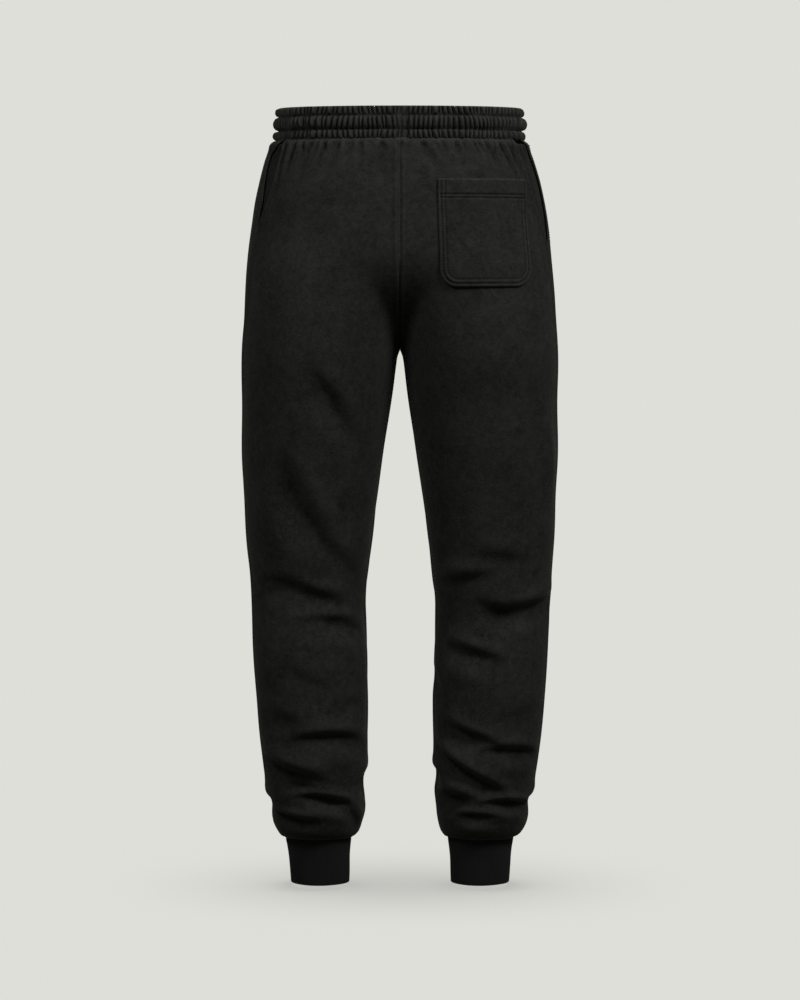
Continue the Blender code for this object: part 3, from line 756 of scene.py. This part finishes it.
def turn_at_arc(side, arc, z):
    """The turns on the back at distances round the cloth from the centre back, row by row."""
    turns = np.linspace(1.0, 0.05, 600)
    result = np.empty(np.broadcast_shapes(arc.shape, z.shape))
    arc, z = np.broadcast_arrays(arc, z)
    for row in range(z.shape[0]):
        line = form(side, turns, np.full_like(turns, z[row, 0]))
        walked = np.concatenate([[0], np.cumsum(np.linalg.norm(np.diff(line, axis=0), axis=-1))])
        result[row] = np.interp(arc[row], walked, turns)
    return result


def pocket_frame(across, down):
    """Arc and height on the garment of places on the pocket, both from 0 to 1 in across."""
    z = POCKET_TOP - down
    inner = level(POCKET_EDGES, "inner", z)
    outer = level(POCKET_EDGES, "outer", z)
    return inner + (outer - inner) * across, z


def pocket_relief(across, down):
    """The pocket's thickness: a turned-under edge, a doubled hem and troughs at the stitches."""
    from_side = np.minimum(across, 1 - across) * POCKET_WIDTH
    from_bottom = POCKET_HEIGHT - down
    corner = (from_side < POCKET_CORNER) & (from_bottom < POCKET_CORNER)
    rounded = POCKET_CORNER - np.hypot(POCKET_CORNER - from_side, POCKET_CORNER - from_bottom)
    edge = np.where(corner, rounded, np.minimum(from_side, from_bottom))
    edge = np.maximum(edge, 0)
    top = np.maximum(down, 0)
    nearest = np.minimum(edge / 0.0018, top / 0.0034)
    roll = np.sqrt(np.clip(1 - (1 - np.clip(nearest, 0, 1)) ** 2, 0, 1))
    turned = 1 - soft_step((edge - 0.0095) / 0.002)
    hem = 1 - soft_step((down - 0.0245) / 0.002)
    height = 0.0010 + 0.0018 * roll + 0.0008 * np.maximum(turned, hem)
    for stitch in POCKET_STITCH:
        height -= 0.0013 * hollow(edge - stitch, 0.0012) * soft_step((down - 0.001) / 0.003)
    for stitch in POCKET_HEM_STITCH:
        height -= 0.0020 * hollow(down - stitch, 0.0012) * soft_step((edge - 0.001) / 0.003)
    rim = soft_step(top / 0.0030) * np.clip(1 - down / 0.040, 0, 1)
    slack = np.sin(math.pi * np.clip(across, 0, 1)) ** 0.4
    belly = np.sin(math.pi * across) * np.sin(math.pi * np.clip(down / POCKET_HEIGHT, 0, 1))
    height += 0.0017 * rim
    height += 0.0014 * np.clip(1 - down / 0.028, 0, 1) ** 2 * slack
    return height + 0.0010 * belly


def patch_pocket():
    """The back pocket, square above and rounded at its lower corners."""
    rim = np.linspace(0, 0.005, 8)
    middle = np.linspace(0.005, 0.116, 104)[1:]
    lowest = np.linspace(0.116, POCKET_HEIGHT, 30)[1:]
    down = np.concatenate([rim, middle, lowest])[:, None]
    column = np.linspace(0, 1, 131)[None, :]
    column = column - 0.35 * np.sin(2 * math.pi * column) / (2 * math.pi)
    into_corner = np.maximum(0, down - (POCKET_HEIGHT - POCKET_CORNER))
    round_off = POCKET_CORNER - np.sqrt(np.maximum(0, POCKET_CORNER ** 2 - into_corner ** 2))
    start = round_off / POCKET_WIDTH
    across = start + (1 - 2 * start) * column
    down = np.broadcast_to(down, across.shape)
    arc, z = pocket_frame(across, down)
    turn = turn_at_arc("right", arc, z)
    points = on_cloth("right", turn, z, LAID_ON_GAP + pocket_relief(across, down))[0]
    piece = sheet_from("patch_pocket", points)
    face_outwards(piece, (-0.05, 0.0, -0.15))
    thicken(piece, POCKET_WALL)
    return piece


def facing(side):
    """The strip behind a side-pocket mouth, tucked under both panels."""
    z = np.linspace(FACING_TOP, FACING_BOTTOM, 60)[:, None]
    start = level(SIDES, "seam_" + side, z) + FACING_TUCK_BACK
    end = level(SIDES, "mouth_" + side, z) - FACING_TUCK_FRONT
    turn = start + (end - start) * np.linspace(0, 1, 30)[None, :]
    z = np.broadcast_to(z, turn.shape)
    sunk = FACING_SINK[side] * hollow(z + 0.050, 0.030)
    sunk = sunk * soft_step((turn - end) / (start - end)) ** 2
    points = on_cloth(side, turn, z, -(FLEECE_WALL + FACING_GAP + sunk))[0]
    piece = sheet_from("pocket_facing_cloth_" + side, points)
    face_outwards(piece, (0.1 if side == "left" else -0.1, 0.0, -0.1))
    thicken(piece, FACING_WALL)
    return piece


# ---------------------------------------------------------------- stitching


def stitches(name, runs):
    """Rows of lockstitch: one small slug of thread for each stitch, joined in one mesh."""
    net = bmesh.new()
    for points, normals in runs:
        steps = np.linalg.norm(np.diff(points, axis=0), axis=-1)
        walked = np.concatenate([[0], np.cumsum(steps)])
        for start in np.arange(STITCH_PITCH / 2, walked[-1] - STITCH_PITCH / 2, STITCH_PITCH):
            ends = [start - STITCH_LENGTH / 2, start, start + STITCH_LENGTH / 2]
            place = [Vector([np.interp(e, walked, points[:, k]) for k in range(3)]) for e in ends]
            up = Vector([np.interp(start, walked, normals[:, k]) for k in range(3)]).normalized()
            forward = (place[2] - place[0]).normalized()
            sideways = up.cross(forward).normalized()
            up = forward.cross(sideways)
            turned = Matrix((forward, sideways, up)).transposed().to_4x4()
            size = Matrix.Diagonal((STITCH_LENGTH / 2, THREAD_RADIUS, THREAD_RADIUS, 1))
            seat = Matrix.Translation(place[1] + up * THREAD_RADIUS * 0.3)
            bmesh.ops.create_icosphere(net, subdivisions=1, radius=1, matrix=seat @ turned @ size)
    for face in net.faces:
        face.smooth = True
    return into_scene(name, net)


def pocket_run(across, down):
    """A row of stitches over places on the pocket."""
    arc, z = pocket_frame(across, down)
    turn = turn_at_arc("right", arc[:, None], z[:, None])
    lift = LAID_ON_GAP + pocket_relief(across, down)[:, None]
    points, normals = on_cloth("right", turn, z[:, None], lift)
    return points[:, 0], normals[:, 0]


def pocket_outline(inset, count=60):
    """Places down one side of the pocket, round its corners and up the other side."""
    radius = POCKET_CORNER - inset
    bend = np.linspace(0, math.pi / 2, count // 4)
    far = POCKET_WIDTH - POCKET_CORNER
    low = POCKET_HEIGHT - POCKET_CORNER
    down_side = np.linspace(0.001, low, count)
    x = [np.full(count, inset), POCKET_CORNER - radius * np.cos(bend)]
    y = [down_side, low + radius * np.sin(bend)]
    x += [np.linspace(POCKET_CORNER, far, count)[1:-1]]
    y += [np.full(count - 2, POCKET_HEIGHT - inset)]
    x += [far + radius * np.sin(bend), np.full(count, POCKET_WIDTH - inset)]
    y += [low + radius * np.cos(bend), np.linspace(low, 0.001, count)]
    return np.concatenate(x) / POCKET_WIDTH, np.concatenate(y)


def pocket_stitching():
    """Two rows round the pocket, two along its hem, and a bar tack at its upper corner."""
    runs = [pocket_run(*pocket_outline(inset)) for inset in POCKET_STITCH]
    across = np.linspace(0.012, 0.988, 80)
    for height in POCKET_HEM_STITCH:
        runs.append(pocket_run(across, np.full_like(across, height)))
    for low in np.arange(0.0285, 0.0355, 0.0017):
        inset = np.linspace(0.0030, 0.0108, 8) / POCKET_WIDTH
        runs.append(pocket_run(inset, np.full_like(inset, low)))
    return stitches("pocket_topstitching", runs)


def seam_run(side, turn, z, lift):
    """A row of stitches on a panel."""
    points, normals = on_cloth(side, turn[:, None], z[:, None], lift[:, None])
    return points[:, 0], normals[:, 0]


def panel_stitching():
    """Topstitching beside the centre-back seam and along the pocket mouths."""
    runs = []
    z = np.linspace(PANEL_TOP - 0.002, -0.250, 200)
    turn = 1 - BACK_SEAM_STITCH / pace("left", 1.0, z)
    runs.append(seam_run("left", turn, z, np.full_like(z, THREAD_LIFT)))
    for side in ("left", "right"):
        z = np.linspace(PANEL_TOP - 0.004, -0.160, 120)
        mouth = level(SIDES, "mouth_" + side, z)
        for inset in MOUTH_STITCH:
            turn = mouth - inset / pace(side, 0.2, z)
            runs.append(seam_run(side, turn, z, THREAD_LIFT + mouth_lift(side, turn, z)))
    return stitches("seam_topstitching", runs)


def waist_stitching():
    """The two rows of stitching that pin the elastic, deep in the grooves of the band."""
    line, out, arc = waist_ring(720)
    runs = []
    for height in (ROLLS[0]["bottom"], ROLLS[1]["bottom"]):
        flat = line + out * (WAIST_GROOVE + 0.0001)
        points = np.column_stack([flat, np.full(len(arc), height)])
        normals = np.column_stack([out, np.zeros(len(arc))])
        runs.append((points, normals))
    return stitches("waistband_stitching", runs)


# ---------------------------------------------------------------- materials


def colour(hex_value):
    """A linear colour from an sRGB hex value."""
    parts = [int(hex_value[i:i + 2], 16) / 255 for i in (0, 2, 4)]
    linear = [c / 12.92 if c <= 0.04045 else ((c + 0.055) / 1.055) ** 2.4 for c in parts]
    return (*linear, 1.0)


def add(tree, kind, inputs=None, **settings):
    """Adds a node, sets it, and sets or links its inputs."""
    node = tree.nodes.new("ShaderNode" + kind)
    for key, value in settings.items():
        setattr(node, key, value)
    for key, value in (inputs or {}).items():
        if isinstance(value, bpy.types.NodeSocket):
            tree.links.new(value, node.inputs[key])
        else:
            node.inputs[key].default_value = value
    return node


def per_metre(millimetres):
    """A noise scale that repeats about once in so many millimetres."""
    return 1000 / millimetres


def blank_material(name):
    """A material and its empty node tree."""
    material = bpy.data.materials.new(name)
    material.use_nodes = True
    material.node_tree.nodes.clear()
    return material, material.node_tree


def washed_fleece(name, deep, faded):
    """Cotton fleece, brushed and garment-washed: matt black, cloudy, with rubbed wear and a painted
    highlight on its ridges and painted shade in its creases.
    """
    material, tree = blank_material(name)
    place = add(tree, "TexCoord").outputs["Object"]
    # Fading in clouds of 45 mm and patches of 9 mm, and a nap of 2.2 mm, coarser than real to show
    cloud = add(tree, "TexNoise", {"Vector": place, "Scale": per_metre(45), "Detail": 4.0,
                                   "Roughness": 0.6})
    patch = add(tree, "TexNoise", {"Vector": place, "Scale": per_metre(9), "Detail": 3.0,
                                   "Distortion": 0.8})
    grain = add(tree, "TexNoise", {"Vector": place, "Scale": per_metre(2.2), "Detail": 2.0})
    fade = add(tree, "Mix", {"Factor": 0.45, "A": patch.outputs["Fac"], "B": cloud.outputs["Fac"]})
    speckled = add(tree, "Mix", {"Factor": 0.28, "A": fade.outputs["Result"],
                                 "B": grain.outputs["Fac"]})
    share = add(tree, "MapRange", {"Value": speckled.outputs["Result"],
                                   "From Min": 0.34, "From Max": 0.68})
    # Thin wandering lines, about 8 mm apart, where the cloth was creased in the wash
    tilted = add(tree, "Mapping", {"Vector": place, "Rotation": (0, 0.4, 0),
                                   "Scale": (0.55, 1.0, 1.2)})
    wander = add(tree, "TexNoise", {"Vector": tilted.outputs["Vector"], "Scale": per_metre(8),
                                    "Detail": 2.0, "Distortion": 1.6})
    off_line = add(tree, "Math", {0: wander.outputs["Fac"], 1: 0.5}, operation="SUBTRACT")
    off_line = add(tree, "Math", {0: off_line.outputs["Value"]}, operation="ABSOLUTE")
    rubbed = add(tree, "MapRange", {"Value": off_line.outputs["Value"], "From Max": 0.045,
                                    "To Min": 1.0, "To Max": 0.0})
    streaked = add(tree, "Mix", {"Factor": 0.22, "A": share.outputs["Result"],
                                 "B": rubbed.outputs["Result"]})
    # Ridges are painted paler, partly rubbed wear and partly a painted highlight, and creases are
    # painted darker as painted shade
    ridges = add(tree, "NewGeometry").outputs["Pointiness"]
    ridge_highlight_crease_shade = add(tree, "MapRange", {"Value": ridges, "From Min": 0.46, "From Max": 0.60,
                                  "To Min": -0.22, "To Max": 0.75})
    # the fading and streaks, plus the painted highlight on ridges and the painted shade in creases
    fading_and_painted_light = add(tree, "Math", {0: streaked.outputs["Result"], 1: ridge_highlight_crease_shade.outputs["Result"]},
               operation="ADD")
    shown = add(tree, "Mix", {"Factor": fading_and_painted_light.outputs["Value"], "A": colour(deep), "B": colour(faded)},
                data_type="RGBA", clamp_factor=False)
    nap = add(tree, "Bump", {"Height": grain.outputs["Fac"], "Distance": 0.0005, "Strength": 0.45})
    pile = add(tree, "Bump", {"Height": rubbed.outputs["Result"], "Distance": 0.0003,
                              "Strength": 0.4, "Normal": nap.outputs["Normal"]})
    shader = add(tree, "BsdfPrincipled", {
        "Base Color": shown.outputs["Result"], "Normal": pile.outputs["Normal"],
        "Roughness": 0.95, "Specular IOR Level": 0.02, "Sheen Weight": 0.004,
        "Sheen Roughness": 0.5})
    add(tree, "OutputMaterial", {"Surface": shader.outputs["BSDF"]})
    return material


def rib_knit(name, deep, body):
    """Cotton rib knit: matt black, smoother than the fleece, with small loops down each rib."""
    material, tree = blank_material(name)
    place = add(tree, "TexCoord").outputs["Object"]
    cloud = add(tree, "TexNoise", {"Vector": place, "Scale": per_metre(30), "Detail": 3.0})
    loops = add(tree, "TexNoise", {"Vector": place, "Scale": per_metre(1.6), "Detail": 2.0,
                                   "Roughness": 0.6})
    shown = add(tree, "Mix", {"Factor": cloud.outputs["Fac"], "A": colour(deep), "B": colour(body)},
                data_type="RGBA")
    knit = add(tree, "Bump", {"Height": loops.outputs["Fac"], "Distance": 0.0004, "Strength": 0.45})
    shader = add(tree, "BsdfPrincipled", {
        "Base Color": shown.outputs["Result"], "Normal": knit.outputs["Normal"],
        "Roughness": 0.9, "Specular IOR Level": 0.03, "Sheen Weight": 0.01})
    add(tree, "OutputMaterial", {"Surface": shader.outputs["BSDF"]})
    return material


def sewing_thread(name, shade):
    """Spun polyester thread: black with a slight gloss."""
    material, tree = blank_material(name)
    shader = add(tree, "BsdfPrincipled", {"Base Color": colour(shade), "Roughness": 0.6,
                                          "Specular IOR Level": 0.04})
    add(tree, "OutputMaterial", {"Surface": shader.outputs["BSDF"]})
    return material


def studio_floor(name):
    """Matt floor lit from below as well, as a translucent studio table is."""
    material, tree = blank_material(name)
    matt = add(tree, "BsdfDiffuse", {"Color": (FLOOR_SHADE, FLOOR_SHADE, FLOOR_SHADE, 1)})
    glow = add(tree, "Emission", {"Color": colour(BACKDROP), "Strength": FLOOR_GLOW})
    both = add(tree, "AddShader", {0: matt.outputs["BSDF"], 1: glow.outputs["Emission"]})
    add(tree, "OutputMaterial", {"Surface": both.outputs["Shader"]})
    return material


# ---------------------------------------------------------------- stage, light and camera

BACKDROP = "DEDFD9"
FLOOR_GLOW = 0.66            # share of the floor's light that no shadow takes away
FLOOR_SHADE = 0.05


def stage():
    """A wide matt floor, lit from overhead so that it matches the backdrop."""
    net = bmesh.new()
    bmesh.ops.create_circle(net, cap_ends=True, segments=96, radius=60)
    bmesh.ops.translate(net, verts=net.verts, vec=(0, 0, FLOOR))
    floor = into_scene("studio_floor", net)
    floor.data.materials.append(studio_floor("matt_floor"))
    return floor


def air():
    """Even pale light from all round, the same shade as the floor."""
    world = bpy.data.worlds.new("studio_air")
    bpy.context.scene.world = world
    world.use_nodes = True
    background = world.node_tree.nodes["Background"]
    background.inputs["Color"].default_value = colour(BACKDROP)
    background.inputs["Strength"].default_value = 1.0


def only_on(stand, pieces):
    """Lets a lamp light only some pieces; all still cast its shadows."""
    lit = bpy.data.collections.new("lit_by_" + stand.name)
    for piece in pieces:
        lit.objects.link(piece)
    stand.light_linking.receiver_collection = lit


def softbox(name, place, aim, size, power, pieces):
    """A large softbox that lights the garment."""
    lamp = bpy.data.lights.new(name, "AREA")
    lamp.shape = "RECTANGLE"
    lamp.size, lamp.size_y = size
    lamp.energy = power
    stand = bpy.data.objects.new(name, lamp)
    stand.location = place
    stand.rotation_euler = (Vector(aim) - Vector(place)).to_track_quat("-Z", "Y").to_euler()
    bpy.context.scene.collection.objects.link(stand)
    only_on(stand, pieces)


def overhead(floor):
    """Soft light straight down on the floor, for the shadow under the garment."""
    lamp = bpy.data.lights.new("overhead", "SUN")
    lamp.angle = math.radians(26)
    lamp.color = colour(BACKDROP)[:3]
    lamp.energy = math.pi * (1 - FLOOR_GLOW - FLOOR_SHADE) / FLOOR_SHADE
    stand = bpy.data.objects.new("overhead", lamp)
    bpy.context.scene.collection.objects.link(stand)
    only_on(stand, [floor])


def camera():
    """A long lens behind the garment, a little above its middle."""
    lens = bpy.data.cameras.new("camera")
    lens.lens = 134.8
    lens.sensor_width = 36
    lens.clip_end = 200
    stand = bpy.data.objects.new("camera", lens)
    stand.location = (0, 5.0, -0.2)
    stand.rotation_euler = (math.radians(90 - 3.42), 0, math.pi)
    bpy.context.scene.collection.objects.link(stand)
    bpy.context.scene.camera = stand


# ---------------------------------------------------------------- making

fleece = washed_fleece("washed_black_fleece", "030303", "0F0F0E")
band_fleece = washed_fleece("gathered_black_fleece", "040404", "11110F")
# The facing is the panels' fleece painted darker: painted shade for the shadow it lies in under the
# panels' edges
facing_in_painted_shade = washed_fleece("facing_cloth_in_painted_shade", "020202", "0B0B0A")
rib = rib_knit("black_cotton_rib", "030303", "050505")
thread = sewing_thread("black_thread", "020202")


def finish_piece(piece, material, nodes):
    """Puts a cloth piece in the place of its solid, with its finish."""
    piece.data.materials.append(material)
    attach(piece, "root")
    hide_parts(*nodes)


garment = []
for half in ("left", "right"):
    for face in ("back", "front"):
        cloth = panel(half, face)
        finish_piece(cloth, fleece, [face + "_" + half])
        garment.append(cloth)
    strip = facing(half)
    finish_piece(strip, facing_in_painted_shade, ["pocket_facing_" + half])
    ring = cuff(half)
    finish_piece(ring, rib, ["cuff_" + half])
    garment += [strip, ring]

band = waistband()
band_thread = waist_stitching()
finish_piece(band, band_fleece, ["waistband"])
patch = patch_pocket()
patch_thread = pocket_stitching()
finish_piece(patch, fleece, ["back_pocket"])
panel_thread = panel_stitching()
garment += [band, patch]
sewn = ((band_thread, "waist_fleece"), (patch_thread, "fleece"), (panel_thread, "fleece"))
for sewing, slot in sewn:
    sewing.data.materials.append(thread)
    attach(sewing, "root")
    garment.append(sewing)

ground = stage()
air()
overhead(ground)
softbox("back_right_softbox", (-1.5, 1.7, 1.7), (0, 0.1, -0.35), (0.8, 0.8), 345, garment)
softbox("back_left_softbox", (1.3, 1.7, 1.7), (0, 0.1, -0.35), (0.8, 0.8), 165, garment)
softbox("front_softbox", (-0.2, -2.1, 1.6), (0, -0.1, -0.35), (1.1, 0.9), 340, garment)
camera()

view = bpy.context.scene.view_settings
view.view_transform = "Standard"
